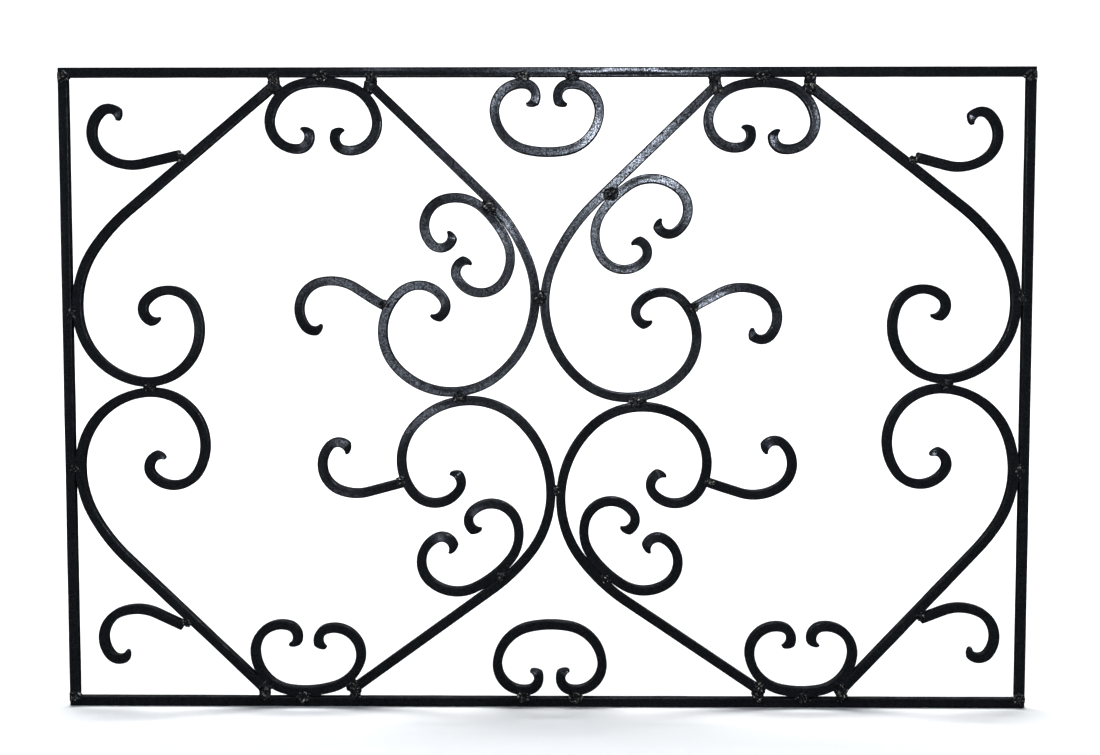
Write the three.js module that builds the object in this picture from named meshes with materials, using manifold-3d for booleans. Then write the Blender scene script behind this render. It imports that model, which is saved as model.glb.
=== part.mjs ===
// Window security bar: a flat welded grille of square steel bar.
// Millimetres. X runs to the right, Z runs up and the front of the grille faces -Y.
// The origin is the centre of the grille.

import * as THREE from 'three';
import { mergeVertices } from 'three/addons/utils/BufferGeometryUtils.js';
import Module from 'manifold-3d';

const wasm = await Module();
wasm.setup();

// Driving dimensions.
const grilleWidth = 1040;
const grilleHeight = 690;
const barSize = 10;

// Clear space between two pieces that touch.
const fitGap = 0.3;

// How far a facet may stray from the true bend.
const arcTolerance = 0.2;

// A scroll's end is forged to a beak: the outside face runs in to the inside one.
const beakLength = 10;
const beakWidth = 2.5;

// A weld bead stands this much proud of the front face and stays inside the back face.
const weldProud = 1.7;
const weldInset = 0.2;

// Radii of the bending jigs, in the order in which a bar goes round them.
const longScrollJig = [200, 108, 79, 57, 31, 14];
const cScrollJig = [110, 44, 29, 13];
const branchJig = [50, 30, 13];

const halfBar = barSize / 2;
const railEdge = grilleHeight / 2 - barSize;

// The long scrolls. Each runs straight from its foot at a rail, then turns round the jigs. Its
// foot is cut to clear the shoulder of the C-scroll beside it.
// Feet are [x, z], headings and turns are degrees anticlockwise as seen from the front.
const longScrolls = {
  top_left_outer_scroll: {
    foot: [-290, 326], heading: -140, straight: 207, turns: [16, 41, 70, 128, 116, 154],
  },
  top_left_inner_scroll: {
    foot: [-186, 326], heading: -44, straight: 167, turns: [-24, -74, -88, -87, -102, -135],
  },
  top_right_inner_scroll: {
    foot: [180, 325], heading: -136, straight: 177, turns: [23, 73, 90, 82, 104, 147],
  },
  top_right_outer_scroll: {
    foot: [281, 325], heading: -38, straight: 208, turns: [-15, -43, -72, -121, -109, -152],
  },
  bottom_left_outer_scroll: {
    foot: [-307, -326], heading: 136, straight: 205, turns: [-17, -36, -81, -122, -108, -154],
  },
  bottom_left_inner_scroll: {
    foot: [-208, -325], heading: 36, straight: 186, turns: [16, 84, 93, 78, 110, 115],
  },
  bottom_right_inner_scroll: {
    foot: [231, -326], heading: 146, straight: 174, turns: [-20, -82, -80, -83, -108, -150],
  },
  bottom_right_outer_scroll: {
    foot: [322, -326], heading: 47, straight: 210, turns: [10, 53, 67, 129, 112, 145],
  },
};

// The C-scrolls. Each is bent both ways from the middle of its back.
const cScrolls = {
  top_left_rail_c_scroll: {
    back: [-236, 329.5], heading: -2, ahead: [-12, -66, -112, -150], behind: [12, 67, 105, 156],
  },
  top_right_rail_c_scroll: {
    back: [228, 329], heading: 2, ahead: [-12, -68, -113, -131], behind: [12, 53, 126, 149],
  },
  top_centre_c_scroll: {
    back: [-1, 255.5], heading: -2, ahead: [11, 75, 105, 154], behind: [-10, -71, -105, -157],
  },
  top_left_heart_c_scroll: {
    back: [-54, 181], heading: -53, ahead: [-12, -58, -121, -144], behind: [10, 60, 116, 170],
  },
  top_right_heart_c_scroll: {
    back: [75, 209], heading: 43, ahead: [-9, -75, -105, -147], behind: [11, 68, 106, 159],
  },
  bottom_left_rail_c_scroll: {
    back: [-254, -328.5], heading: 5, ahead: [12, 49, 130, 137], behind: [-13, -81, -107, -143],
  },
  bottom_right_rail_c_scroll: {
    back: [277, -328.5], heading: -1, ahead: [10, 75, 106, 141], behind: [-11, -69, -111, -149],
  },
  bottom_centre_c_scroll: {
    back: [4, -255], heading: 1, ahead: [-11, -74, -108, -148], behind: [12, 69, 109, 146],
  },
  bottom_left_heart_c_scroll: {
    back: [-56, -201], heading: 39, ahead: [13, 56, 120, 142], behind: [-13, -66, -115, -148],
  },
  bottom_right_heart_c_scroll: {
    back: [64, -196], heading: -44, ahead: [13, 62, 122, 145], behind: [-13, -49, -129, -145],
  },
};

// The short branches. Each foot is cut to sit on the long scroll that carries it.
const branches = {
  top_left_corner_branch: {
    on: 'top_left_outer_scroll',
    foot: [-390, 253], heading: -167, straight: 43, turns: [-51, -100, -131],
  },
  top_right_corner_branch: {
    on: 'top_right_outer_scroll',
    foot: [394, 250], heading: -15, straight: 34, turns: [49, 101, 141],
  },
  bottom_left_corner_branch: {
    on: 'bottom_left_outer_scroll',
    foot: [-395, -257], heading: 155, straight: 32, turns: [46, 109, 123],
  },
  bottom_right_corner_branch: {
    on: 'bottom_right_outer_scroll',
    foot: [406, -248], heading: 21, straight: 26, turns: [-46, -103, -135],
  },
  top_left_inner_branch: {
    on: 'top_left_inner_scroll',
    foot: [-171, 90], heading: 148, straight: 39, turns: [45, 114, 105],
  },
  top_right_inner_branch: {
    on: 'top_right_inner_scroll',
    foot: [155, 88], heading: 29, straight: 35, turns: [-54, -105, -138],
  },
  bottom_left_inner_branch: {
    on: 'bottom_left_inner_scroll',
    foot: [-152, -99], heading: -165, straight: 41, turns: [-36, -110, -140],
  },
  bottom_right_inner_branch: {
    on: 'bottom_right_inner_scroll',
    foot: [172, -98], heading: -18, straight: 39, turns: [52, 103, 144],
  },
};

// Welds where two bars run side by side: [weld, one bar, the other bar, about where].
const sideWelds = [
  ['weld_left_outer_scrolls', 'top_left_outer_scroll', 'bottom_left_outer_scroll',
    [-427, 5]],
  ['weld_right_outer_scrolls', 'top_right_outer_scroll', 'bottom_right_outer_scroll',
    [431, 9]],
  ['weld_left_inner_scrolls', 'top_left_inner_scroll', 'bottom_left_inner_scroll',
    [-92, -3]],
  ['weld_right_inner_scrolls', 'top_right_inner_scroll', 'bottom_right_inner_scroll',
    [98, -10]],
  ['weld_top_inner_scrolls', 'top_left_inner_scroll', 'top_right_inner_scroll',
    [-5, 100]],
  ['weld_bottom_inner_scrolls', 'bottom_left_inner_scroll', 'bottom_right_inner_scroll',
    [10, -104]],
  ['weld_top_left_stile', 'top_left_outer_scroll', 'left_stile',
    [-508, 83]],
  ['weld_top_right_stile', 'top_right_outer_scroll', 'right_stile',
    [508, 101]],
  ['weld_bottom_left_stile', 'bottom_left_outer_scroll', 'left_stile',
    [-509, -84]],
  ['weld_bottom_right_stile', 'bottom_right_outer_scroll', 'right_stile',
    [509, -85]],
  ['weld_top_left_heart_c_scroll', 'top_left_heart_c_scroll', 'top_left_inner_scroll',
    [-60, 196]],
  ['weld_top_right_heart_c_scroll', 'top_right_heart_c_scroll', 'top_right_inner_scroll',
    [71, 211]],
  ['weld_bottom_left_heart_c_scroll', 'bottom_left_heart_c_scroll', 'bottom_left_inner_scroll',
    [-50, -201]],
  ['weld_bottom_right_heart_c_scroll', 'bottom_right_heart_c_scroll', 'bottom_right_inner_scroll',
    [63, -205]],
];

// Welds that fill the corner between a rail, a long scroll's foot and a C-scroll.
const footWelds = [
  ['weld_top_left_outer_foot', 'top_rail', 'top_left_outer_scroll', 'top_left_rail_c_scroll'],
  ['weld_top_left_inner_foot', 'top_rail', 'top_left_inner_scroll', 'top_left_rail_c_scroll'],
  ['weld_top_right_inner_foot', 'top_rail', 'top_right_inner_scroll', 'top_right_rail_c_scroll'],
  ['weld_top_right_outer_foot', 'top_rail', 'top_right_outer_scroll', 'top_right_rail_c_scroll'],
  ['weld_bottom_left_outer_foot', 'bottom_rail', 'bottom_left_outer_scroll',
    'bottom_left_rail_c_scroll'],
  ['weld_bottom_left_inner_foot', 'bottom_rail', 'bottom_left_inner_scroll',
    'bottom_left_rail_c_scroll'],
  ['weld_bottom_right_inner_foot', 'bottom_rail', 'bottom_right_inner_scroll',
    'bottom_right_rail_c_scroll'],
  ['weld_bottom_right_outer_foot', 'bottom_rail', 'bottom_right_outer_scroll',
    'bottom_right_rail_c_scroll'],
];

// Half lengths of the weld beads: along the bars, and across them.
const sideWeldReach = { along: 8, across: 5 };
const branchWeldReach = { along: 10, across: 8 };
const footWeldReach = { along: 10, across: 8 };

const grille = new THREE.Group();
const bars = {};

function material(roughness) {
  return new THREE.MeshStandardMaterial({ color: 0x14161b, roughness, metalness: 0.3 });
}

function addNode(name, solid, roughness) {
  const mesh = new THREE.Mesh(geometryOf(solid), material(roughness));
  mesh.name = name;
  grille.add(mesh);
}

// Conversions between three.js geometry and manifold solids.
function solidOf(geometry) {
  geometry.deleteAttribute('normal');
  geometry.deleteAttribute('uv');
  const welded = mergeVertices(geometry, 1e-4);
  return new wasm.Manifold(new wasm.Mesh({
    numProp: 3,
    vertProperties: new Float32Array(welded.attributes.position.array),
    triVerts: new Uint32Array(welded.index.array),
  }));
}

function geometryOf(solid) {
  const mesh = solid.getMesh();
  const geometry = new THREE.BufferGeometry();
  geometry.setAttribute('position', new THREE.BufferAttribute(mesh.vertProperties, 3));
  geometry.setIndex(new THREE.BufferAttribute(mesh.triVerts, 1));
  geometry.computeVertexNormals();
  return geometry;
}

// Stations along the centre line of a bent bar, each with the way that the bar runs there.
function bentLine({ foot, heading, straight, jig, turns }) {
  const at = new THREE.Vector2(...foot);
  let angle = THREE.MathUtils.degToRad(heading);
  const stations = [{ at: at.clone(), angle }];
  const advance = (length) => {
    at.add(new THREE.Vector2(Math.cos(angle), Math.sin(angle)).multiplyScalar(length));
  };
  if (straight > 0) {
    advance(straight);
    stations.push({ at: at.clone(), angle });
  }
  turns.forEach((turn, index) => {
    const radius = jig[index];
    const total = THREE.MathUtils.degToRad(turn);
    const steps = Math.ceil(Math.abs(total) / (2 * Math.acos(1 - arcTolerance / radius)));
    const halfStep = total / steps / 2;
    for (let step = 0; step < steps; step += 1) {
      angle += halfStep;
      advance(2 * radius * Math.sin(Math.abs(halfStep)));
      angle += halfStep;
      stations.push({ at: at.clone(), angle });
    }
  });
  return stations;
}

function turnedRound(station) {
  return { at: station.at, angle: station.angle + Math.PI };
}

// A C-scroll's centre line: one arm reversed, then the other.
function cLine({ back, heading, ahead, behind }) {
  const arm = (way, turns) => bentLine({
    foot: back, heading: way, straight: 0, jig: cScrollJig, turns,
  });
  const first = arm(heading + 180, behind).reverse().map(turnedRound);
  return first.concat(arm(heading, ahead).slice(1));
}

// Distance along the stations, measured from the first.
function distances(stations) {
  const run = [0];
  for (let i = 1; i < stations.length; i += 1) {
    run.push(run[i - 1] + stations[i].at.distanceTo(stations[i - 1].at));
  }
  return run;
}

// How far the outside face lies from the centre line, this far from a beaked end.
function outsideReach(fromEnd) {
  const taper = Math.max(0, 1 - fromEnd / beakLength);
  return halfBar - (barSize - beakWidth) * taper;
}

// The bar's outline as seen from the front, with room for a neighbour's gap if asked.
function barOutline(bar, grow) {
  const { stations, side, beaks } = bar;
  const run = distances(stations);
  const length = run[run.length - 1];
  const inside = [];
  const outside = [];
  stations.forEach(({ at, angle }, i) => {
    const normal = new THREE.Vector2(-Math.sin(angle), Math.cos(angle)).multiplyScalar(side);
    let reach = halfBar;
    if (beaks.start) {
      reach = Math.min(reach, outsideReach(run[i]));
    }
    if (beaks.end) {
      reach = Math.min(reach, outsideReach(length - run[i]));
    }
    inside.push(at.clone().addScaledVector(normal, halfBar + grow));
    outside.push(at.clone().addScaledVector(normal, -reach - grow));
  });
  return new THREE.Shape(inside.concat(outside.reverse()));
}

// A flat shape in X and Z, thickened evenly about Y = 0.
function thicken(shape, thickness) {
  const geometry = new THREE.ExtrudeGeometry(shape, {
    depth: thickness, bevelEnabled: false, curveSegments: 1,
  });
  geometry.rotateX(Math.PI / 2);
  geometry.translate(0, thickness / 2, 0);
  return solidOf(geometry);
}

function bentSolid(bar, grow = 0) {
  return thicken(barOutline(bar, grow), barSize + 2 * grow);
}

function straightSolid({ from, to }, grow = 0) {
  const run = to.clone().sub(from);
  const geometry = new THREE.BoxGeometry(
    Math.abs(run.x) + (run.x === 0 ? barSize : 0) + 2 * grow,
    barSize + 2 * grow,
    Math.abs(run.y) + (run.y === 0 ? barSize : 0) + 2 * grow,
  );
  const middle = from.clone().add(to).multiplyScalar(0.5);
  geometry.translate(middle.x, 0, middle.y);
  return solidOf(geometry);
}

function solidOfBar(bar, grow = 0) {
  return bar.stations ? bentSolid(bar, grow) : straightSolid(bar, grow);
}

// The frame: two full-width rails with the stiles cut to fit between them.
function addFrame() {
  const railHeight = grilleHeight / 2 - halfBar;
  const stileEnd = railEdge - fitGap;
  const stileX = grilleWidth / 2 - halfBar;
  const add = (name, x1, z1, x2, z2) => {
    bars[name] = { from: new THREE.Vector2(x1, z1), to: new THREE.Vector2(x2, z2) };
    addNode(name, straightSolid(bars[name]), 0.42);
  };
  add('top_rail', -grilleWidth / 2, railHeight, grilleWidth / 2, railHeight);
  add('bottom_rail', -grilleWidth / 2, -railHeight, grilleWidth / 2, -railHeight);
  add('left_stile', -stileX, -stileEnd, -stileX, stileEnd);
  add('right_stile', stileX, -stileEnd, stileX, stileEnd);
}

function addLongScrolls() {
  for (const [name, schedule] of Object.entries(longScrolls)) {
    bars[name] = {
      stations: bentLine({ ...schedule, jig: longScrollJig }),
      side: Math.sign(schedule.turns[0]),
      beaks: { end: true },
    };
    const shoulder = bars[name.replace(/(outer|inner)_scroll$/, 'rail_c_scroll')];
    const cut = bentSolid(bars[name]).subtract(bentSolid(shoulder, fitGap));
    addNode(name, largestOf(cut), 0.4);
  }
}

function addCScrolls() {
  for (const [name, schedule] of Object.entries(cScrolls)) {
    bars[name] = {
      stations: cLine(schedule),
      side: Math.sign(schedule.ahead[0]),
      beaks: { start: true, end: true },
    };
    addNode(name, bentSolid(bars[name]), 0.4);
  }
}

function addBranches() {
  for (const [name, schedule] of Object.entries(branches)) {
    bars[name] = {
      stations: bentLine({ ...schedule, jig: branchJig }),
      side: Math.sign(schedule.turns[0]),
      beaks: { end: true },
    };
    const carrier = bentSolid(bars[schedule.on], fitGap);
    addNode(name, largestOf(bentSolid(bars[name]).subtract(carrier)), 0.4);
  }
}

function largestOf(solid) {
  return solid.decompose().sort((a, b) => b.volume() - a.volume())[0];
}

// Points every millimetre or so along a bar's centre line.
function sampled(bar) {
  const corners = bar.stations ? bar.stations.map(({ at }) => at) : [bar.from, bar.to];
  const points = [];
  for (let i = 1; i < corners.length; i += 1) {
    const count = Math.ceil(corners[i].distanceTo(corners[i - 1]));
    for (let step = 0; step <= count; step += 1) {
      points.push(corners[i - 1].clone().lerp(corners[i], step / count));
    }
  }
  return points;
}

function nearest(points, spot) {
  return points.reduce((best, point) => (
    point.distanceTo(spot) < best.distanceTo(spot) ? point : best
  ));
}

// The joint between a point of one bar and another bar.
function jointAt(here, other) {
  const there = nearest(sampled(other), here);
  const across = there.clone().sub(here);
  return { middle: here.clone().lerp(there, 0.5), across: across.angle(), there };
}

// The joint of two bars that run side by side past a spot.
function jointNear(spot, one, other) {
  const onOther = nearest(sampled(other), spot);
  return jointAt(nearest(sampled(one), onOther), other);
}

// A bead is a rounded lump that leaves a gap round every bar it joins.
function addWeld(name, middle, acrossAngle, reach, joined) {
  const front = -halfBar - weldProud;
  const back = halfBar - weldInset;
  const geometry = new THREE.IcosahedronGeometry(1, 1);
  geometry.scale(reach.across, (back - front) / 2, reach.along);
  geometry.rotateY(-acrossAngle);
  geometry.translate(middle.x, (front + back) / 2, middle.y);
  let bead = solidOf(geometry);
  for (const barName of joined) {
    bead = bead.subtract(solidOfBar(bars[barName], fitGap));
  }
  addNode(name, largestOf(bead), 0.5);
}

function addSideWelds() {
  for (const [name, one, other, place] of sideWelds) {
    const spot = new THREE.Vector2(...place);
    const { middle, across } = jointNear(spot, bars[one], bars[other]);
    addWeld(name, middle, across, sideWeldReach, [one, other]);
  }
}

function addFootWelds() {
  for (const [name, rail, scroll, cScroll] of footWelds) {
    const foot = bars[scroll].stations[0].at;
    const shoulder = nearest(sampled(bars[cScroll]), foot);
    const edge = Math.sign(foot.y) * railEdge;
    const middle = new THREE.Vector2((foot.x + shoulder.x) / 2, (foot.y + edge) / 2);
    addWeld(name, middle, 0, footWeldReach, [rail, scroll, cScroll]);
  }
}

// The first point of a branch's centre line that is clear of the scroll that carries it.
function whereClear(branch, carrier) {
  const line = sampled(carrier);
  return sampled(branch).find((point) => nearest(line, point).distanceTo(point) > barSize);
}

function addBranchWelds() {
  for (const [name, { on }] of Object.entries(branches)) {
    const { middle, across } = jointAt(whereClear(bars[name], bars[on]), bars[on]);
    addWeld(`weld_${name}`, middle, across, branchWeldReach, [name, on]);
  }
}

addFrame();
addCScrolls();
addLongScrolls();
addBranches();
addSideWelds();
addFootWelds();
addBranchWelds();

export default grille;
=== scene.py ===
import math
import random

import bmesh
import bpy
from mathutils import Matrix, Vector, noise


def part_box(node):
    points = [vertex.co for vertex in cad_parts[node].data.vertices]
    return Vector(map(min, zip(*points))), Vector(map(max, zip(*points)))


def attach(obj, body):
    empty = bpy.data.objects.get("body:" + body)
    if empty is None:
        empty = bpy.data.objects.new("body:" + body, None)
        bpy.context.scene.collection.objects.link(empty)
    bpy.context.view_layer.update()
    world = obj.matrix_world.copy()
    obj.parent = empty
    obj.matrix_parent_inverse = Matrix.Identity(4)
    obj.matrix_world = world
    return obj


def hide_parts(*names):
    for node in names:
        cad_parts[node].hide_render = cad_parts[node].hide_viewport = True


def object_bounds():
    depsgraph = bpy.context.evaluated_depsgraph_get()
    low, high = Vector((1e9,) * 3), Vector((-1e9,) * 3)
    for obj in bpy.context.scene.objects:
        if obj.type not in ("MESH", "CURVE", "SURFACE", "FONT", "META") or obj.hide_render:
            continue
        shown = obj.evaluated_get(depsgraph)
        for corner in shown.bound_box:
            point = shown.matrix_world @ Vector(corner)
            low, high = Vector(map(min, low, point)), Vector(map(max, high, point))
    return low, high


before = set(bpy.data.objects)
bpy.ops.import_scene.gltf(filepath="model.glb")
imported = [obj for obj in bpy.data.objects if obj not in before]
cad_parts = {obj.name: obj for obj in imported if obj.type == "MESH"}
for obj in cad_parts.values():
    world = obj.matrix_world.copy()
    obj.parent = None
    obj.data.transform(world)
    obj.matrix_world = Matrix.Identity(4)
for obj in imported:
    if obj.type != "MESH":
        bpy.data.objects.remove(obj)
cad_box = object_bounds()

# Looks of a wrought-iron window grille. Each bar is swept along the centre line of its CAD solid,
# and each weld is built where its CAD solid is. Lengths are in metres.
MM = 0.001
LOWEST, HIGHEST = cad_box
RAIL_LOW, RAIL_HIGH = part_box("top_rail")
BAR = RAIL_HIGH.z - RAIL_LOW.z
HALF_BAR = BAR / 2
FRONT, BACK = RAIL_LOW.y, RAIL_HIGH.y

PAINT_FILM = 0.22 * MM
ARRIS = 0.95 * MM
END_ROUNDING = ARRIS * 0.9

# A beak is the hammered end of a scroll: narrower and thinner towards its tip.
BEAK_LENGTH = 10 * MM
BEAK_WIDTH = 2.5 * MM
TIP_THINNING = 0.7 * MM
SHARP_TURN = math.radians(48)

# A bar's section is skewed front to back by this share of the distance across it: a twist that
# wanders along the bar, and a lean at a beaked end that fades out over a length.
TWIST = 0.10
TIP_LEAN = 0.16
TIP_LEAN_LENGTH = 48 * MM

# How far the faces of a scroll and of the frame bow in, and how far any face wanders.
SCROLL_HOLLOW = 0.05 * MM
FRAME_HOLLOW = 0.22 * MM
UNEVEN = 0.16 * MM

# Each face wanders with its own wavelength, and a number that sets it apart from the others.
INNER_WAVE = (38 * MM, 0)
OUTER_WAVE = (45 * MM, 9)
FRONT_WAVE = (60 * MM, 5)
BACK_WAVE = (50 * MM, 3)
TWIST_WAVE = (70 * MM, 21)

# How much a point on an arris and at its edges shows wear, and where the points across a face are.
ARRIS_WEAR = 1.0
ARRIS_EDGE_WEAR = 0.55
FACE_SHARES = (0.09, 0.3, 0.5, 0.7, 0.91)

# How strongly the bars' sides mirror what is round them.
SIDE_GLOSS = 0.02

# The mill scale that glitters through the paint, and the bare metal in the specks on a weld.
FLAKE_COLOUR = (0.050, 0.056, 0.068)
BARE_METAL = (0.62, 0.61, 0.55)


# ---------------------------------------------------------------- centre lines

# How many of a curl's first points tell its inner side from its outer one.
CURL_POINTS = 6
# Two points across a bar further apart than this are not square across it, and a bar whose width
# is off by more than this has reached its shaped foot.
TOO_WIDE = 1.02 * BAR
WIDTH_SLACK = 0.01 * BAR


def front_outline(node):
    """The points round the front face of a CAD bar, in order, as (x, z)."""
    mesh = bmesh.new()
    mesh.from_mesh(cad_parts[node].data)
    bmesh.ops.remove_doubles(mesh, verts=mesh.verts, dist=1e-6)
    front = min(v.co.y for v in mesh.verts)

    def on_front(face):
        return all(v.co.y < front + 0.1 * MM for v in face.verts)

    after = {}
    for edge in mesh.edges:
        if sum(on_front(face) for face in edge.link_faces) == 1:
            for vert in edge.verts:
                after.setdefault(vert.index, []).append(edge.other_vert(vert).index)
    first = min(after)
    order = [first, after[first][0]]
    while True:
        step = [i for i in after[order[-1]] if i != order[-2]][0]
        if step == first:
            break
        order.append(step)
    mesh.verts.ensure_lookup_table()
    outline = [Vector((mesh.verts[i].co.x, mesh.verts[i].co.z)) for i in order]
    mesh.free()
    return outline


def turn_at(outline, i):
    """How sharply the outline turns at point i, in radians."""
    before = outline[i] - outline[i - 1]
    after = outline[(i + 1) % len(outline)] - outline[i]
    return before.angle(after)


def beak_start(outline):
    """The index of the first point of the short edge that ends a beak."""
    for i in range(len(outline)):
        after = (i + 1) % len(outline)
        narrow = (outline[after] - outline[i]).length < 0.6 * BAR
        if narrow and turn_at(outline, i) > SHARP_TURN and turn_at(outline, after) > SHARP_TURN:
            return i
    raise ValueError("this bar has no beak")


def path_length(points):
    return sum((b - a).length for a, b in zip(points, points[1:]))


def stations_of(node):
    """Points down the middle of a bent bar from its beak, each with the way to its outer side."""
    outline = front_outline(node)
    count = len(outline)
    beak = beak_start(outline)
    one_side = [outline[(beak - i) % count] for i in range(count // 2)]
    other_side = [outline[(beak + 1 + i) % count] for i in range(count // 2)]
    if path_length(one_side[:CURL_POINTS]) < path_length(other_side[:CURL_POINTS]):
        inner, outer = one_side, other_side
    else:
        inner, outer = other_side, one_side
    stations = []
    for a, b in zip(inner, outer):
        if (b - a).length > TOO_WIDE:
            break
        across = (b - a).normalized()
        stations.append((a + across * HALF_BAR, across))
    if not node.endswith("_c_scroll"):
        stations = stations[:foot_start(inner, outer)]
        stations.append(foot_station(stations, outline))
    return stations


def foot_start(inner, outer):
    """How many of a bar's stations come before its shaped foot."""
    full_width = False
    for i, (a, b) in enumerate(zip(inner, outer)):
        off = abs((b - a).length - BAR) > WIDTH_SLACK
        if full_width and off:
            return i
        full_width = full_width or not off
    return len(inner)


def foot_station(stations, outline):
    """The last station of a bar, at the far end of its straight foot."""
    (before, _), (last, across) = stations[-2:]
    ahead = Vector((across.y, -across.x))
    if ahead.dot(last - before) < 0:
        ahead = -ahead
    reach = max((p - last).dot(ahead) for p in outline if abs((p - last).dot(across)) < BAR)
    return last + ahead * reach, across


def smooth_path(stations):
    """Closely spaced (point, outward) pairs on a smooth curve through the stations."""
    path = []
    for (start, out_start), (end, out_end) in zip(stations, stations[1:]):
        chord = end - start
        lead = tangent_of(out_start, chord) * chord.length
        follow = tangent_of(out_end, chord) * chord.length
        turn = out_start.angle(out_end)
        steps = max(math.ceil(chord.length / (3 * MM)), math.ceil(turn / math.radians(4)))
        for i in range(steps):
            path.append(hermite(start, end, lead, follow, i / steps))
    path.append(stations[-1])
    return face_outward(path, stations)


def tangent_of(across, chord):
    tangent = Vector((across.y, -across.x))
    return tangent if tangent.dot(chord) > 0 else -tangent


def hermite(start, end, lead, follow, t):
    """A point on a smooth curve from start to end, with a square-on direction."""
    point = (
        start * (2 * t**3 - 3 * t**2 + 1) + lead * (t**3 - 2 * t**2 + t)
        + end * (3 * t**2 - 2 * t**3) + follow * (t**3 - t**2)
    )
    along = (
        (start - end) * (6 * t**2 - 6 * t) + lead * (3 * t**2 - 4 * t + 1)
        + follow * (3 * t**2 - 2 * t)
    ).normalized()
    return point, Vector((-along.y, along.x))


def face_outward(path, stations):
    """The path with every direction turned the way that the bar's outer side lies."""
    flip = 1 if path[0][1].dot(stations[0][1]) > 0 else -1
    turned = [(point, outward * flip) for point, outward in path[:-1]]
    return turned + [path[-1]]


def straight_path(start, end, outward):
    steps = math.ceil((end - start).length / (5 * MM))
    return [(start.lerp(end, i / steps), outward) for i in range(steps + 1)]


# ------------------------------------------------------------------------ bars

def section(inner, outer, front, back, hollow, twist):
    """A bar's cross section as (across, y, on the arris, on a side), going once round."""
    arris = min(ARRIS, 0.4 * (inner + outer))
    middle, depth = (outer - inner) / 2, (front + back) / 2
    half_width, half_depth = (inner + outer) / 2, (back - front) / 2
    side_x, side_y = half_width - arris, half_depth - arris
    points = []
    for quarter in range(4):
        sign_x = 1 if quarter in (0, 3) else -1
        sign_y = 1 if quarter in (0, 1) else -1
        for step in range(4):
            angle = (quarter + step / 3) * math.pi / 2
            beside = abs(math.cos(angle)) > 0.6
            points.append((sign_x * side_x + arris * math.cos(angle),
                           sign_y * side_y + arris * math.sin(angle),
                           ARRIS_WEAR if step in (1, 2) else ARRIS_EDGE_WEAR, float(beside)))
        for share in FACE_SHARES:
            sink = hollow * math.sin(share * math.pi) ** 2
            sweep = 1 - 2 * share
            if quarter in (0, 2):
                points.append((sign_x * side_x * sweep, sign_y * (half_depth - sink), 0.0, 0.0))
            else:
                points.append((sign_x * (half_width - sink), sign_y * side_y * sweep, 0.0, 1.0))
    return [(middle + x, depth + y + twist * x, on_arris, on_side)
            for x, y, on_arris, on_side in points]


def beak_taper(from_end):
    """How much a beak's outer side has come in, this far from its end."""
    return (BAR - BEAK_WIDTH) * max(0.0, 1 - from_end / BEAK_LENGTH)


def wander(run, seed, wave, size):
    """A slow, repeatable unevenness along a bar."""
    wavelength, apart = wave
    own = seed + apart
    return size * noise.noise(Vector((run / wavelength, own * 7.31, own * 1.7)))


def rounded_ends(path):
    """The path with its two ends drawn out into rings that close a rounded corner: rows of
    (point, outward, inset)."""
    turns = [math.radians(a) for a in (30, 60, 90)]

    def cap(end, before):
        (point, outward), (other, _) = end, before
        ahead = (point - other).normalized()
        base = point - ahead * END_ROUNDING
        return [(base + ahead * END_ROUNDING * math.sin(a), outward,
                 END_ROUNDING * (1 - math.cos(a))) for a in turns]

    first = cap(path[0], path[1])
    last = cap(path[-1], path[-2])
    body = [(point, outward, 0.0) for point, outward in path]
    trimmed = [row for row in body
               if (row[0] - path[0][0]).length > END_ROUNDING
               and (row[0] - path[-1][0]).length > END_ROUNDING]
    return first[::-1] + trimmed + last


def ring_of(row, at, length, beaks, seed, hollow):
    """One ring of a bar, as (x, y, z, on the arris, on a side)."""
    point, outward, inset = row
    taper = thinning = lean = 0.0
    for beaked, from_end in zip(beaks, (at, length - at)):
        if beaked:
            taper = max(taper, beak_taper(from_end))
            thinning = max(thinning, TIP_THINNING * max(0, 1 - from_end / BEAK_LENGTH))
            lean = max(lean, TIP_LEAN * max(0, 1 - from_end / TIP_LEAN_LENGTH))
    full = HALF_BAR + PAINT_FILM - inset
    inner = full + wander(at, seed, INNER_WAVE, UNEVEN)
    outer = full - taper + wander(at, seed, OUTER_WAVE, UNEVEN)
    front = FRONT + inset + thinning + wander(at, seed, FRONT_WAVE, UNEVEN)
    back = BACK - inset - thinning - abs(wander(at, seed, BACK_WAVE, UNEVEN))
    twist = wander(at, seed, TWIST_WAVE, TWIST) + lean
    ring = []
    for across, y, on_arris, on_side in section(inner, outer, front, back, hollow, twist):
        flat = point + outward * across
        ring.append((flat.x, y, flat.y, on_arris, on_side))
    return ring


def tube_faces(rings, around):
    """The faces of a closed tube, from its number of rings and of points in a ring."""
    faces = []
    for row in range(rings - 1):
        for i in range(around):
            j = (i + 1) % around
            faces.append((row * around + i, row * around + j,
                          (row + 1) * around + j, (row + 1) * around + i))
    faces.append(tuple(range(around))[::-1])
    faces.append(tuple(range((rings - 1) * around, rings * around)))
    return faces


def sweep_bar(name, path, beaks, seed, hollow):
    """A bar along a path. beaks says whether the start and the end are beaked, and hollow is
    how far its faces bow in."""
    rows = rounded_ends(path)
    run = [0.0]
    for (a, _, _), (b, _, _) in zip(rows, rows[1:]):
        run.append(run[-1] + (b - a).length)
    rings = [ring_of(row, at, run[-1], beaks, seed, hollow) for row, at in zip(rows, run)]
    points = [point for ring in rings for point in ring]
    mesh = bpy.data.meshes.new(name)
    mesh.from_pydata([point[:3] for point in points], [], tube_faces(len(rings), len(rings[0])))
    turn_outside_out(mesh)
    for place, mark in enumerate(("arris", "side"), start=3):
        values = [point[place] for point in points]
        mesh.attributes.new(mark, "FLOAT", "POINT").data.foreach_set("value", values)
    mesh.shade_smooth()
    return finish_piece(name, mesh)


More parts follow.
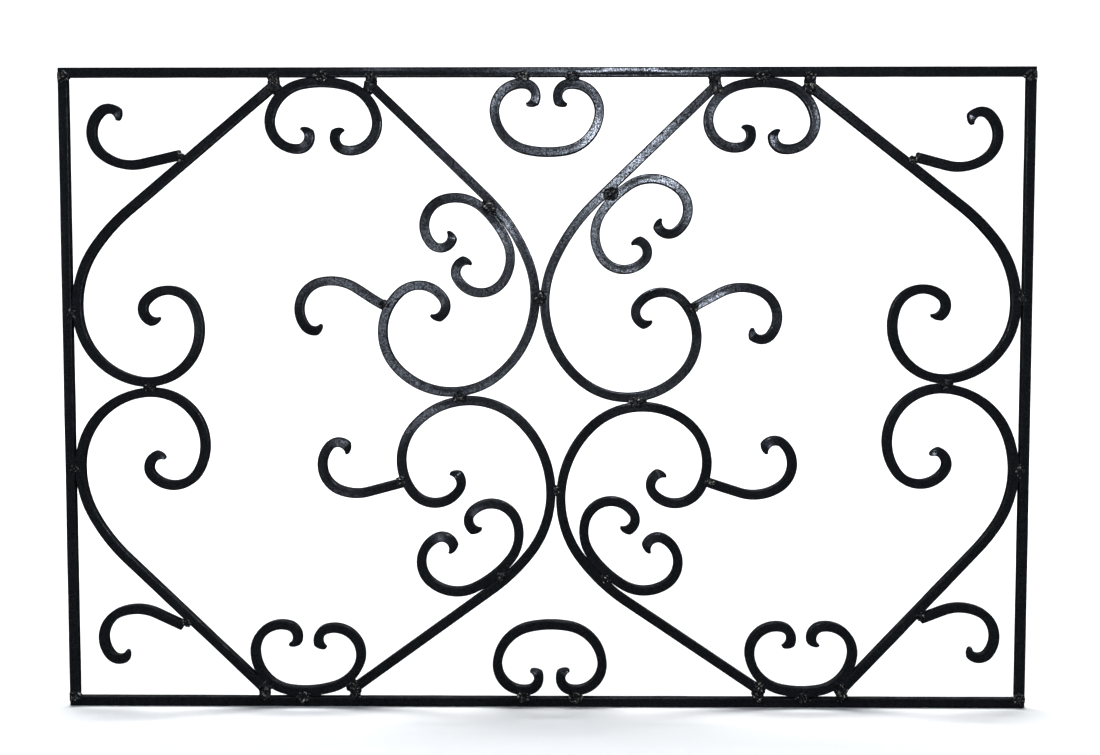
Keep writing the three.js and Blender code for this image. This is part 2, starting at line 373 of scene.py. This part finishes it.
def turn_outside_out(mesh):
    shape = bmesh.new()
    shape.from_mesh(mesh)
    bmesh.ops.recalc_face_normals(shape, faces=shape.faces)
    shape.to_mesh(mesh)
    shape.free()


def finish_piece(name, mesh):
    keep_inside(mesh)
    piece = bpy.data.objects.new(name, mesh)
    bpy.context.scene.collection.objects.link(piece)
    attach(piece, "root")
    return piece


def keep_inside(mesh):
    """Holds every point inside the CAD box."""
    for vert in mesh.vertices:
        for axis in range(3):
            vert.co[axis] = min(max(vert.co[axis], LOWEST[axis]), HIGHEST[axis])


def box_path(node):
    """The straight path down the middle of a rail or stile."""
    low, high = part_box(node)
    if high.x - low.x > high.z - low.z:
        z = (low.z + high.z) / 2
        return straight_path(Vector((low.x, z)), Vector((high.x, z)), Vector((0, 1)))
    x = (low.x + high.x) / 2
    return straight_path(Vector((x, low.z)), Vector((x, high.z)), Vector((1, 0)))


def build_bars(paint):
    """Every bar as a swept piece, and the path that each one follows."""
    paths = {}
    nodes = sorted(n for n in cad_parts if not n.startswith("weld_"))
    for seed, node in enumerate(nodes):
        if node.endswith(("_rail", "_stile")):
            paths[node] = box_path(node)
            piece = sweep_bar(node + "_bar", paths[node], (False, False), seed, FRAME_HOLLOW)
        else:
            paths[node] = smooth_path(stations_of(node))
            beaks = (True, node.endswith("_c_scroll"))
            piece = sweep_bar(node + "_bar", paths[node], beaks, seed, SCROLL_HOLLOW)
        piece.data.materials.append(paint)
        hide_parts(node)
    return paths


# ----------------------------------------------------------------------- welds

# Half length and half width of a side weld, and whether its middle has sunk to a crater.
SIDE_BEAD = ((7 * MM, 5.6 * MM), False)
SIDE_BEADS = {
    "weld_left_outer_scrolls": ((8 * MM, 4.6 * MM), False),
    "weld_left_inner_scrolls": ((8 * MM, 7 * MM), False),
    "weld_right_inner_scrolls": ((11 * MM, 6 * MM), False),
    "weld_right_outer_scrolls": ((8.5 * MM, 5.4 * MM), False),
    "weld_top_inner_scrolls": ((7.5 * MM, 7 * MM), False),
    "weld_bottom_inner_scrolls": ((5.4 * MM, 5 * MM), False),
    "weld_top_left_heart_c_scroll": ((9.5 * MM, 7 * MM), False),
    "weld_top_right_heart_c_scroll": ((8 * MM, 7.6 * MM), True),
}

# Half the width of the metal that fills a side joint, and its share of the weld's length.
SIDE_FILL_HALF_WIDTH = 2.4 * MM
SIDE_FILL_SHARE = 0.8

# Half length and half width of the metal between two bars, and of the run laid over it.
BRANCH_FILL, BRANCH_RUN = (5 * MM, 4.2 * MM), (6.2 * MM, 5 * MM)
TACK_FILL, TACK_RUN = (8.5 * MM, 2.8 * MM), (8 * MM, 6 * MM)
RAIL_FILL, RAIL_RUN = (7.5 * MM, 6.6 * MM), (5.4 * MM, 7.2 * MM)
UNION_FILL, FOOT_RUN = (6 * MM, 6 * MM), (8 * MM, 7 * MM)
FILL_HALF_DEPTH = 4.75 * MM
FILL_SETBACK = 0.1 * MM

# A run's pad and the ring where its specks land, as shares of its half length and half width.
PAD_SHARE = (0.86, 0.82)
SPECK_SHARE = (0.92, 0.80)
PAD_PROUD = 0.6 * MM

# The drops on a pad: how many, the turn in radians from one to the next, how far out they lie,
# their half width as a share of the run's smaller half, how long they are for their width, and
# how many millimetres they stand proud of the bars.
FEWEST_DROPS = 5
DROPS_PER_PATCH = 6
DROP_PATCH = 4.5 * MM
DROP_TURN = 2.4
DROP_SPREAD = 0.78
CRATER_RING = 0.72
DROP_SIZE = (0.26, 0.46)
DROP_STRETCH = (1.0, 1.5)
DROP_PROUD = (0.95, 1.6)

# The specks round them: half their size, and how far they stand proud, in millimetres.
SPECKS = 5
SPECK_SIZE = (0.5, 1.0)
SPECK_PROUD = (0.2, 0.5)

# Half a dab's greatest depth, the sizes of the lumps on it, and the skin over all the dabs: its
# voxels, how deep its grain is and how fine, in waves per metre.
DEEPEST_DAB = 3 * MM
LUMP_SCALE, KNOB_SCALE = 1.6, 4.5
VOXEL = 0.42 * MM
GRAIN = 0.10 * MM
COARSE_GRAIN, FINE_GRAIN = 900, 2300


def nearest_on(path, spot):
    return min((point for point, _ in path), key=lambda point: (point - spot).length)


def add_dab(shape, centre, along, half, seed, rough=0.16):
    """One lumpy drop of metal. along is its long direction in x and z; half is its half size
    along, across and in depth."""
    made = bmesh.ops.create_icosphere(shape, subdivisions=3, radius=1.0)["verts"]
    across = Vector((-along.y, along.x))
    for vert in made:
        unit = vert.co.normalized()
        lump = 1 + rough * noise.noise(unit * LUMP_SCALE + Vector((seed * 3.1, seed, 0)))
        lump += 0.5 * rough * noise.noise(unit * KNOB_SCALE + Vector((0, seed * 5.3, seed)))
        a, c, d = unit.x * half[0] * lump, unit.z * half[1] * lump, unit.y * half[2] * lump
        flat = along * a + across * c
        vert.co = centre + Vector((flat.x, d, flat.y))


def fused(name, shape):
    """The dabs as one closed skin, with a fine grain."""
    rough_mesh = bpy.data.meshes.new(name + "_dabs")
    shape.to_mesh(rough_mesh)
    shape.free()
    holder = bpy.data.objects.new(name + "_dabs", rough_mesh)
    bpy.context.scene.collection.objects.link(holder)
    remesh = holder.modifiers.new("Fuse", "REMESH")
    remesh.mode = "VOXEL"
    remesh.voxel_size = VOXEL
    soften = holder.modifiers.new("Soften", "SMOOTH")
    soften.factor = 0.5
    soften.iterations = 2
    evaluated = holder.evaluated_get(bpy.context.evaluated_depsgraph_get())
    mesh = bpy.data.meshes.new_from_object(evaluated)
    bpy.data.objects.remove(holder)
    bpy.data.meshes.remove(rough_mesh)
    mesh.name = name
    normals = [vert.normal.copy() for vert in mesh.vertices]
    for vert, normal in zip(mesh.vertices, normals):
        swell = noise.noise(vert.co * COARSE_GRAIN) + 0.6 * noise.noise(vert.co * FINE_GRAIN)
        vert.co += normal * GRAIN * swell
    mesh.shade_smooth()
    return mesh


def lay(shape, spot, along, half, proud, seed, rough=0.3):
    """One dab on the bars' front, standing this far proud of it. half is its half length and
    half width; its depth follows from them."""
    depth = min(DEEPEST_DAB, 0.9 * min(half))
    centre = Vector((spot.x, FRONT - proud + depth, spot.y))
    add_dab(shape, centre, along, (half[0], half[1], depth), seed, rough)


def fill_through(shape, spot, along, half, seed):
    """Metal that fills the gap between the bars, from just under the front to the back."""
    add_dab(shape, Vector((spot.x, FILL_SETBACK, spot.y)), along, (*half, FILL_HALF_DEPTH), seed)


def round_run(spot, along, half, share, angle):
    """A place on the oval that takes this share of a weld run's half length and half width."""
    across = Vector((-along.y, along.x))
    place = spot + along * half[0] * share[0] * math.cos(angle)
    return place + across * half[1] * share[1] * math.sin(angle)


def heap(shape, spot, along, half, seed, crater=False):
    """A weld run: a low pad with rounded drops on it, and specks thrown round it."""
    rng = random.Random(seed)
    pad = (PAD_SHARE[0] * half[0], PAD_SHARE[1] * half[1])
    lay(shape, spot, along, pad, PAD_PROUD, seed)
    drops = max(FEWEST_DROPS, round(half[0] * half[1] / DROP_PATCH ** 2 * DROPS_PER_PATCH))
    for i in range(drops):
        angle = i * DROP_TURN + rng.uniform(-0.5, 0.5)
        reach = CRATER_RING if crater else DROP_SPREAD * math.sqrt((i + 0.3) / drops)
        place = round_run(spot, along, half, (reach, reach), angle)
        size = rng.uniform(*DROP_SIZE) * min(half)
        stretch = rng.uniform(*DROP_STRETCH)
        lay(shape, place, along, (size * stretch, size), rng.uniform(*DROP_PROUD) * MM,
            seed * 10 + i, rough=0.35)
    for i in range(SPECKS):
        angle = rng.uniform(0, 2 * math.pi)
        place = round_run(spot, along, half, SPECK_SHARE, angle)
        size = rng.uniform(*SPECK_SIZE) * MM
        lay(shape, place, along, (size, size), rng.uniform(*SPECK_PROUD) * MM, seed * 17 + i)


def joint_of(paths, node):
    """Where a side weld lies and the way its joint runs, from the two bars that it joins."""
    low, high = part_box(node)
    spot = Vector(((low.x + high.x) / 2, (low.z + high.z) / 2))
    near = sorted(((nearest_on(path, spot) - spot).length, name) for name, path in paths.items())
    one, other = (nearest_on(paths[name], spot) for _, name in near[:2])
    across = (other - one).normalized()
    return (one + other) / 2, Vector((-across.y, across.x))


def side_bead(shape, paths, node, seed):
    spot, along = joint_of(paths, node)
    half, crater = SIDE_BEADS.get(node, SIDE_BEAD)
    fill = (SIDE_FILL_SHARE * half[0], SIDE_FILL_HALF_WIDTH)
    fill_through(shape, spot, along, fill, seed)
    heap(shape, spot, along, half, seed, crater)


def branch_bead(shape, paths, node, seed):
    branch = paths[node[len("weld_"):]]
    foot = branch[-1][0]
    low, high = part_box(node)
    spot = Vector(((low.x + high.x) / 2, (low.z + high.z) / 2))
    along = (foot - branch[-2][0]).normalized()
    fill_through(shape, spot, along, BRANCH_FILL, seed)
    heap(shape, spot, along, BRANCH_RUN, seed)


def foot_bead(shape, paths, node, seed):
    """Metal from a rail down over the end of a long scroll and on to the C-scroll beside it."""
    bar_end = node[len("weld_"):-len("_foot")]
    quarter = bar_end.rsplit("_", 1)[0]
    foot = paths[bar_end + "_scroll"][-1][0]
    shoulder = nearest_on(paths[quarter + "_rail_c_scroll"], foot)
    rail_side = math.copysign(1, foot.y)
    rail_edge = Vector((foot.x, rail_side * (RAIL_LOW.z - 0.5 * MM)))
    union = foot.lerp(shoulder, 0.45)
    along = Vector((0, 1))
    fill_through(shape, foot.lerp(rail_edge, 0.5), along, RAIL_FILL, seed)
    fill_through(shape, union, along, UNION_FILL, seed + 0.3)
    heap(shape, rail_edge, along, RAIL_RUN, seed)
    heap(shape, foot.lerp(union, 0.4), along, FOOT_RUN, seed + 40)


def tack(shape, spot, along, seed):
    """A short tack weld at a place where two bars meet end on or back to back."""
    fill_through(shape, spot, along, TACK_FILL, seed)
    heap(shape, spot, along, TACK_RUN, seed, crater=True)


def add_bead(name, shape, paint, stands_for=None):
    """A finished weld. Its wear and side marks stay at zero, so it has neither look."""
    piece = finish_piece(name, fused(name, shape))
    for mark in ("arris", "side"):
        piece.data.attributes.new(mark, "FLOAT", "POINT")
    piece.data.materials.append(paint)
    if stands_for:
        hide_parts(stands_for)


def build_welds(paths, paint):
    nodes = sorted(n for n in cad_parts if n.startswith("weld_"))
    for seed, node in enumerate(nodes, start=1):
        shape = bmesh.new()
        if node.endswith("_foot"):
            foot_bead(shape, paths, node, seed)
        elif node.endswith("_branch"):
            branch_bead(shape, paths, node, seed)
        else:
            side_bead(shape, paths, node, seed)
        add_bead(node + "_bead", shape, paint, node)
    for seed, (name, spot, along) in enumerate(tack_spots(paths), start=101):
        shape = bmesh.new()
        tack(shape, spot, along, seed)
        add_bead(name, shape, paint)


def tack_spots(paths):
    """The small welds at the frame's corners and where C-scrolls touch a rail."""
    level = Vector((1, 0))
    edge = RAIL_LOW.z
    for side, side_x in (("left", -1), ("right", 1)):
        for end, end_z in (("top", 1), ("bottom", -1)):
            corner = Vector((side_x * (HIGHEST.x - HALF_BAR), end_z * edge))
            yield f"weld_{end}_{side}_corner_tack", corner, level
            back = highest_point(paths[f"{end}_{side}_rail_c_scroll"], end_z)
            yield f"weld_{end}_{side}_rail_c_scroll_tack", Vector((back.x, end_z * edge)), level
    for end, end_z in (("top", 1), ("bottom", -1)):
        path = paths[f"{end}_centre_c_scroll"]
        middle = len(path) // 2
        halves = (path[:middle], path[middle:])
        halves = sorted(halves, key=lambda part: part[0][0].x + part[-1][0].x)
        for side, half in zip(("left", "right"), halves):
            crest = highest_point(half, end_z)
            spot = Vector((crest.x, end_z * edge))
            yield f"weld_{end}_centre_c_scroll_{side}_tack", spot, level


def highest_point(path, end_z):
    """The point of a path that comes closest to the top rail (1) or the bottom rail (-1)."""
    return max((point for point, _ in path), key=lambda point: end_z * point.y)


# ------------------------------------------------------------------- materials

class Shading:
    """A new material, with short ways to add nodes to it."""

    def __init__(self, name):
        self.material = bpy.data.materials.new(name)
        self.material.use_nodes = True
        tree = self.material.node_tree
        self.nodes, self.links = tree.nodes, tree.links
        self.shader = self.nodes["Principled BSDF"]
        self.place = self.nodes.new("ShaderNodeTexCoord").outputs["Object"]

    def feed(self, socket, value):
        """Links another node to a socket, or sets it to a colour or a number."""
        if isinstance(value, bpy.types.NodeSocket):
            self.links.new(value, socket)
        elif isinstance(value, tuple):
            socket.default_value = (*value, 1)
        else:
            socket.default_value = value

    def pattern(self, scale, detail=3.0, rough=0.6):
        made = self.nodes.new("ShaderNodeTexNoise")
        made.inputs["Scale"].default_value = scale
        made.inputs["Detail"].default_value = detail
        made.inputs["Roughness"].default_value = rough
        self.links.new(self.place, made.inputs["Vector"])
        return made.outputs["Fac"]

    def ramp(self, value, low, high, out_low=0.0, out_high=1.0):
        made = self.nodes.new("ShaderNodeMapRange")
        for socket, number in (("From Min", low), ("From Max", high),
                               ("To Min", out_low), ("To Max", out_high)):
            made.inputs[socket].default_value = number
        self.links.new(value, made.inputs["Value"])
        return made.outputs["Result"]

    def maths(self, operation, a, b):
        made = self.nodes.new("ShaderNodeMath")
        made.operation = operation
        self.feed(made.inputs[0], a)
        self.feed(made.inputs[1], b)
        return made.outputs[0]

    def blend(self, amount, first, second):
        made = self.nodes.new("ShaderNodeMix")
        made.data_type = "RGBA"
        self.feed(made.inputs["Factor"], amount)
        self.feed(made.inputs[6], first)
        self.feed(made.inputs[7], second)
        return made.outputs[2]

    def mark(self, name):
        made = self.nodes.new("ShaderNodeAttribute")
        made.attribute_name = name
        return made.outputs["Fac"]

    def facing_up(self):
        made = self.nodes.new("ShaderNodeSeparateXYZ")
        surface = self.nodes.new("ShaderNodeNewGeometry")
        self.links.new(surface.outputs["Normal"], made.inputs["Vector"])
        return made.outputs["Z"]


def paint_colour(look, dust, pit):
    """Black paint: mottled, greyer where it has worn, pale with dust and dark in its pits."""
    mottle = look.ramp(look.pattern(160, 4), 0.4, 0.7)
    worn = look.maths("MULTIPLY", look.mark("arris"), look.ramp(look.pattern(90, 4), 0.45, 0.62))
    colour = look.blend(mottle, (0.0040, 0.0043, 0.0050), (0.0085, 0.0090, 0.0105))
    colour = look.blend(look.maths("MULTIPLY", worn, 0.6), colour, (0.026, 0.027, 0.031))
    colour = look.blend(look.maths("MULTIPLY", dust, 0.35), colour, (0.075, 0.073, 0.070))
    return look.blend(look.maths("MULTIPLY", pit, 0.8), colour, (0.004, 0.004, 0.005))


def paint_roughness(look, roughness, grit, added):
    """The roughness, cloudy and gritty. added pairs whatever roughens it with by how much."""
    clouds = look.ramp(look.pattern(14, 2), 0.35, 0.7)
    rough = look.ramp(clouds, 0, 1, roughness - 0.05, roughness + 0.08)
    rough = look.maths("ADD", rough, look.ramp(grit, 0.35, 0.7, -0.05, 0.10))
    for amount, extra in added:
        rough = look.maths("ADD", rough, look.maths("MULTIPLY", amount, extra))
    return rough


def paint_grain(look, grit, pit, depth):
    """The bump of brushed paint, this deep."""
    peel = look.pattern(420, 3, 0.6)
    height = look.maths("ADD", look.maths("MULTIPLY", peel, 0.7), look.maths("MULTIPLY", grit, 0.3))
    height = look.maths("SUBTRACT", height, look.maths("MULTIPLY", pit, 0.35))
    bump = look.nodes.new("ShaderNodeBump")
    bump.inputs["Strength"].default_value = 1.0
    bump.inputs["Distance"].default_value = depth
    look.feed(bump.inputs["Height"], height)
    return bump.outputs["Normal"]


def painted(name, roughness, grain_depth, gloss, flakes, spatter):
    """Black paint brushed over mill scale: granular, with a cold sheen and worn edges. gloss is
    how strongly it mirrors; flakes and spatter, from 0 to 1, are how much of it glitters and
    how much bright bare metal shows in specks."""
    look = Shading(name)
    shader = look.shader
    shader.inputs["Specular Tint"].default_value = (0.86, 0.93, 1.0, 1)
    side = look.mark("side")
    grit = look.pattern(1500, 2, 0.6)
    pit = look.ramp(look.pattern(430, 2, 0.5), 0.60, 0.66)
    dust = look.maths("MULTIPLY", look.ramp(look.facing_up(), 0.5, 0.95),
                      look.ramp(look.pattern(60, 4), 0.4, 0.75))
    flake = look.ramp(look.pattern(900, 2, 0.7), 0.40, 0.60)
    glitter = look.maths("MULTIPLY", look.maths("MULTIPLY", flake, flakes),
                         look.maths("SUBTRACT", 1.0, pit))
    glitter = look.maths("MULTIPLY", glitter, look.ramp(side, 0, 1, 1.0, 0.0))
    bare = look.ramp(look.pattern(420, 2, 0.5), 0.61, 0.65)
    bare = look.maths("MULTIPLY", bare, spatter)

    colour = look.blend(glitter, paint_colour(look, dust, pit), FLAKE_COLOUR)
    colour = look.blend(bare, colour, BARE_METAL)
    look.feed(shader.inputs["Base Color"], colour)
    look.feed(shader.inputs["Metallic"], look.maths("MAXIMUM", glitter, bare))
    added = ((dust, 0.25), (pit, 0.3), (bare, 0.2), (side, 0.45))
    look.feed(shader.inputs["Roughness"], paint_roughness(look, roughness, grit, added))
    mirror = look.ramp(side, 0, 1, gloss, SIDE_GLOSS)
    mirror = look.maths("MULTIPLY", mirror, look.ramp(pit, 0, 1, 1.0, 0.15))
    look.feed(shader.inputs["Specular IOR Level"], mirror)
    look.feed(shader.inputs["Normal"], paint_grain(look, grit, pit, grain_depth))
    return look.material


def pale(name, colour):
    """A matt pale studio surface with a faint unevenness."""
    look = Shading(name)
    look.shader.inputs["Roughness"].default_value = 0.9
    look.shader.inputs["Specular IOR Level"].default_value = 0.1
    mottle = look.nodes.new("ShaderNodeTexNoise")
    mottle.inputs["Scale"].default_value = 1.5
    shade = tuple(0.985 * c for c in colour)
    look.feed(look.shader.inputs["Base Color"], look.blend(mottle.outputs["Fac"], colour, shade))
    return look.material


# ---------------------------------------------------------------------- studio

def build_studio():
    """A pale floor that sweeps up into a backdrop behind the grille."""
    floor_z = LOWEST.z
    half_width, near, far, bend, height = 9.0, -9.0, 5.0, 1.5, 5.0
    profile = [(near, floor_z), (far - bend, floor_z)]
    for i in range(1, 13):
        angle = i / 12 * math.pi / 2
        profile.append((far - bend + bend * math.sin(angle),
                        floor_z + bend * (1 - math.cos(angle))))
    profile.append((far, floor_z + height))
    verts = [(x, y, z) for y, z in profile for x in (-half_width, half_width)]
    faces = [(2 * i, 2 * i + 1, 2 * i + 3, 2 * i + 2) for i in range(len(profile) - 1)]
    mesh = bpy.data.meshes.new("studio_floor")
    mesh.from_pydata(verts, [], faces)
    mesh.shade_smooth()
    floor = bpy.data.objects.new("studio_floor", mesh)
    bpy.context.scene.collection.objects.link(floor)
    floor.data.materials.append(pale("pale_floor", (0.86, 0.86, 0.86)))
    floor.visible_glossy = False


def add_softbox(name, place, aim, size, power, colour=(1, 1, 1), spread=180):
    data = bpy.data.lights.new(name, "AREA")
    data.shape = "RECTANGLE"
    data.size, data.size_y = size
    data.energy = power
    data.color = colour
    data.spread = math.radians(spread)
    lamp = bpy.data.objects.new(name, data)
    lamp.location = place
    lamp.rotation_euler = (Vector(aim) - Vector(place)).to_track_quat("-Z", "Y").to_euler()
    bpy.context.scene.collection.objects.link(lamp)


def light_studio():
    add_softbox("key_softbox", (0.18, -2.58, 0.41), (0.09, 0, 0.24), (0.26, 0.26), 2.3, spread=100)
    add_softbox("fill_softbox", (-0.46, -2.58, 0.02), (-0.17, 0, 0.07), (0.4, 0.4), 0.8, spread=100)
    add_softbox("sky_softbox", (-0.5, 0.6, 3.2), (0, 0.9, 0), (3, 2), 60, (0.88, 0.94, 1.0))
    add_softbox("backdrop_softbox", (0, 2.0, 4.0), (0, 3.6, 0), (6, 2), 420)
    world = bpy.data.worlds.new("studio_air")
    world.use_nodes = True
    nodes, links = world.node_tree.nodes, world.node_tree.links
    air = nodes["Background"]
    air.inputs["Color"].default_value = (0.80, 0.88, 1.0, 1)
    split = nodes.new("ShaderNodeSeparateXYZ")
    links.new(nodes.new("ShaderNodeTexCoord").outputs["Generated"], split.inputs["Vector"])
    fade = nodes.new("ShaderNodeMapRange")
    for socket, number in (("From Min", -0.3), ("From Max", 0.3),
                           ("To Min", 0.01), ("To Max", 0.16)):
        fade.inputs[socket].default_value = number
    links.new(split.outputs["Z"], fade.inputs["Value"])
    links.new(fade.outputs["Result"], air.inputs["Strength"])
    bpy.context.scene.world = world
    bpy.context.scene.view_settings.view_transform = "Standard"


def place_camera():
    """A camera in front of the grille and a little above its middle, looking down slightly."""
    data = bpy.data.cameras.new("camera")
    data.sensor_width = 36
    data.lens = 52.36
    camera = bpy.data.objects.new("camera", data)
    camera.location = (0.0222, -1.7200, 0.1295)
    camera.rotation_euler = (math.radians(86.17), 0, math.radians(0.59))
    bpy.context.scene.collection.objects.link(camera)
    bpy.context.scene.camera = camera


bar_paths = build_bars(painted("bar_paint", 0.145, 0.034 * MM, 0.10, 1.0, 0.0))
build_welds(bar_paths, painted("weld_paint", 0.14, 0.07 * MM, 0.50, 0.06, 1.0))
build_studio()
light_studio()
place_camera()
